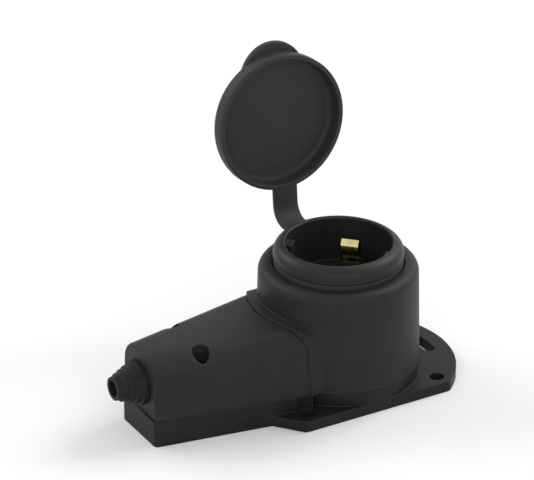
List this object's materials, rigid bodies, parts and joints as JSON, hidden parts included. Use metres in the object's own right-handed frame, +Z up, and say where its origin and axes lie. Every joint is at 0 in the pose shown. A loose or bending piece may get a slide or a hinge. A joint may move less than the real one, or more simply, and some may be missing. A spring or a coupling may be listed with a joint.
{
  "type": "rubber cable socket",
  "caption": "Surface-mounted round rubber socket outlet with earth clips, a tapered cable cover with grommet, and a flip lid on a strap.",
  "frame": {"origin": "on the underside of the base, at the centre of the mounting holes, on the axis of the round socket", "axes": "+X from the cable entry towards the socket end, +Z up out of the socket, the lid's hinge side is +Y"},
  "size_m": [0.1381, 0.0808, 0.1161],
  "materials": {
    "base_rubber": "moulded hard rubber, satin",
    "housing_rubber": "moulded rubber, satin",
    "insert_plastic": "moulded plastic, satin",
    "lid_rubber": "soft moulded rubber, satin",
    "gland_rubber": "soft rubber, matt",
    "clamp_plastic": "moulded plastic, satin",
    "zinc_steel": "bright zinc plate",
    "brass": "bright brass strip",
    "milky_plastic": "translucent, milky",
    "brown_sleeve": "brown wire insulation",
    "blue_sleeve": "blue wire insulation",
    "earth_sleeve": "green and yellow wire insulation"
  },
  "bodies": {
    "socket": {"base_plate": "base_rubber", "socket_housing": "housing_rubber", "socket_cup": "insert_plastic", "lid_ring": "lid_rubber", "lid_strap": "lid_rubber", "cable_cover": "housing_rubber", "cable_gland": "gland_rubber", "cable_clamp": "clamp_plastic", "clamp_screws": "zinc_steel", "cover_screws": "zinc_steel", "cup_screws": "zinc_steel", "block_screw": "zinc_steel", "terminal_screws": "zinc_steel", "contact_terminal_screws": "zinc_steel", "terminal_block": "milky_plastic", "terminal_tubes": "brass", "contact_bar_front": "brass", "contact_bar_rear": "brass", "pin_clip_front": "brass", "pin_clip_rear": "brass", "clip_rivets": "brass", "earth_bracket": "brass", "wire_brown": "brown_sleeve", "wire_blue": "blue_sleeve", "wire_green_yellow": "earth_sleeve"},
    "flap": {"lid": "lid_rubber"}
  },
  "joints": [
    {"name": "lid_hinge", "type": "hinge", "parent": "socket", "child": "flap", "pos_m": [0, 0.037, 0.0501], "axis": [1, 0, 0], "range_deg": [-85, 95], "stiffness_Nm_per_rad": 0.02, "deforming": ["lid_strap"]}
  ]
}
